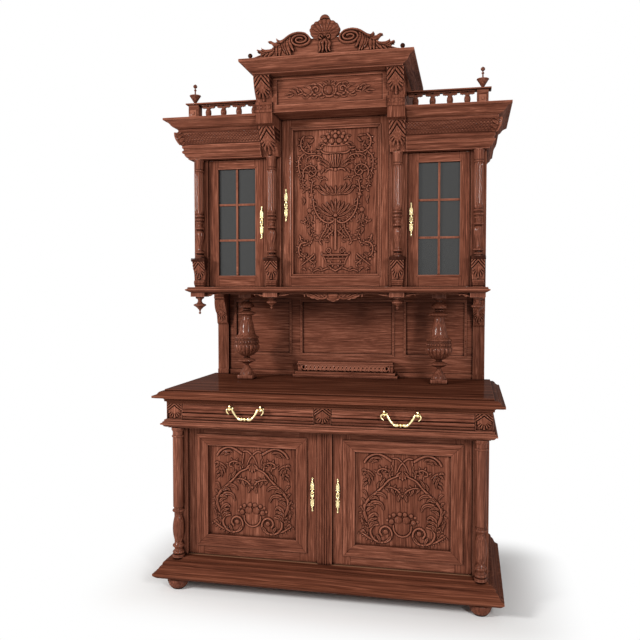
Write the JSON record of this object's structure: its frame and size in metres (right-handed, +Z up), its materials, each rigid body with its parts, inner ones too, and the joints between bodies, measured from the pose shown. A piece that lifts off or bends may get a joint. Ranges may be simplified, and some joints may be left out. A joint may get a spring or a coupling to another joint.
{
  "type": "buffet cabinet",
  "caption": "Tall carved Renaissance-revival buffet: cupboard with drawers below, open niche on vase columns, glazed and panelled cabinet above, spindle galleries and a shell crest.",
  "frame": {"origin": "on the floor, midway between the left and right sides and between the front and the back", "axes": "+X to the viewer's right, +Y to the back, so the front faces -Y, and +Z up"},
  "size_m": [1.546, 0.7, 2.4874],
  "materials": {
    "wood_upright": "waxed, grain upright",
    "wood_level": "waxed, grain across",
    "wood_frame": "waxed, stiles and rails",
    "wood_panel": "waxed, carved",
    "wood_inside": "plain, unpolished",
    "brass": "polished",
    "steel": "plain",
    "glass": "clear"
  },
  "bodies": {
    "case": {"base_case": "wood_upright", "base_posts": "wood_upright", "base_muntin": "wood_upright", "base_columns": "wood_upright", "frieze_blocks": "wood_upright", "niche_pilasters": "wood_upright", "vase_columns": "wood_upright", "pendants": "wood_upright", "upper_case": "wood_upright", "upper_piers": "wood_upright", "upper_dies": "wood_upright", "upper_columns": "wood_upright", "corbel_blocks": "wood_upright", "urn_finials": "wood_upright", "bun_feet": "wood_level", "plinth": "wood_level", "waist_board": "wood_level", "worktop": "wood_level", "niche_back": "wood_level", "step_shelf": "wood_level", "upper_floor": "wood_level", "valance": "wood_level", "side_cornices": "wood_level", "galleries": "wood_level", "centre_frieze": "wood_level", "centre_cornice": "wood_level", "crest": "wood_level", "base_floor": "wood_inside", "back_boards": "wood_inside", "shelves": "wood_inside", "pivot_pins": "steel"},
    "lower_door_left": {"lower_door_left_frame": "wood_frame", "lower_door_left_panel": "wood_panel", "lower_door_left_brasses": "brass"},
    "lower_door_left_bolt": {"lower_door_left_bolt": "steel"},
    "lower_door_right": {"lower_door_right_frame": "wood_frame", "lower_door_right_panel": "wood_panel", "lower_door_right_brasses": "brass"},
    "lower_door_right_bolt": {"lower_door_right_bolt": "steel"},
    "side_door_left": {"side_door_left_frame": "wood_frame", "side_door_left_glass": "glass", "side_door_left_brasses": "brass"},
    "side_door_left_bolt": {"side_door_left_bolt": "steel"},
    "side_door_right": {"side_door_right_frame": "wood_frame", "side_door_right_glass": "glass", "side_door_right_brasses": "brass"},
    "side_door_right_bolt": {"side_door_right_bolt": "steel"},
    "centre_door": {"centre_door_frame": "wood_frame", "centre_door_panel": "wood_panel", "centre_door_brasses": "brass"},
    "centre_door_bolt": {"centre_door_bolt": "steel"},
    "drawer_left": {"drawer_left_front": "wood_level", "drawer_left_box": "wood_inside", "drawer_left_posts": "brass"},
    "drawer_left_bail": {"drawer_left_bail": "brass"},
    "drawer_right": {"drawer_right_front": "wood_level", "drawer_right_box": "wood_inside", "drawer_right_posts": "brass"},
    "drawer_right_bail": {"drawer_right_bail": "brass"}
  },
  "joints": [
    {"name": "lower_door_left_hinge", "type": "hinge", "parent": "case", "child": "lower_door_left", "pos_m": [-0.612, -0.22, 0.43], "axis": [0, 0, -1], "range_deg": [0, 90]},
    {"name": "lower_door_right_hinge", "type": "hinge", "parent": "case", "child": "lower_door_right", "pos_m": [0.612, -0.22, 0.43], "axis": [0, 0, 1], "range_deg": [0, 90]},
    {"name": "side_door_left_hinge", "type": "hinge", "parent": "case", "child": "side_door_left", "pos_m": [-0.594, 0.006, 1.64], "axis": [0, 0, -1], "range_deg": [0, 90]},
    {"name": "side_door_right_hinge", "type": "hinge", "parent": "case", "child": "side_door_right", "pos_m": [0.594, 0.006, 1.64], "axis": [0, 0, 1], "range_deg": [0, 90]},
    {"name": "centre_door_hinge", "type": "hinge", "parent": "case", "child": "centre_door", "pos_m": [0.237, 0.006, 1.73], "axis": [0, 0, 1], "range_deg": [0, 90]},
    {"name": "lower_door_left_bolt_slide", "type": "slide", "parent": "lower_door_left", "child": "lower_door_left_bolt", "axis": [1, 0, 0], "range_m": [0, 0.01]},
    {"name": "lower_door_right_bolt_slide", "type": "slide", "parent": "lower_door_right", "child": "lower_door_right_bolt", "axis": [-1, 0, 0], "range_m": [0, 0.01]},
    {"name": "side_door_left_bolt_slide", "type": "slide", "parent": "side_door_left", "child": "side_door_left_bolt", "axis": [1, 0, 0], "range_m": [0, 0.01]},
    {"name": "side_door_right_bolt_slide", "type": "slide", "parent": "side_door_right", "child": "side_door_right_bolt", "axis": [-1, 0, 0], "range_m": [0, 0.01]},
    {"name": "centre_door_bolt_slide", "type": "slide", "parent": "centre_door", "child": "centre_door_bolt", "axis": [-1, 0, 0], "range_m": [0, 0.01]},
    {"name": "drawer_left_slide", "type": "slide", "parent": "case", "child": "drawer_left", "axis": [0, -1, 0], "range_m": [0, 0.38]},
    {"name": "drawer_left_bail_hinge", "type": "hinge", "parent": "drawer_left", "child": "drawer_left_bail", "pos_m": [-0.334, -0.314, 0.815], "axis": [-1, 0, 0], "range_deg": [0, 85]},
    {"name": "drawer_right_slide", "type": "slide", "parent": "case", "child": "drawer_right", "axis": [0, -1, 0], "range_m": [0, 0.38]},
    {"name": "drawer_right_bail_hinge", "type": "hinge", "parent": "drawer_right", "child": "drawer_right_bail", "pos_m": [0.334, -0.314, 0.815], "axis": [-1, 0, 0], "range_deg": [0, 85]}
  ]
}
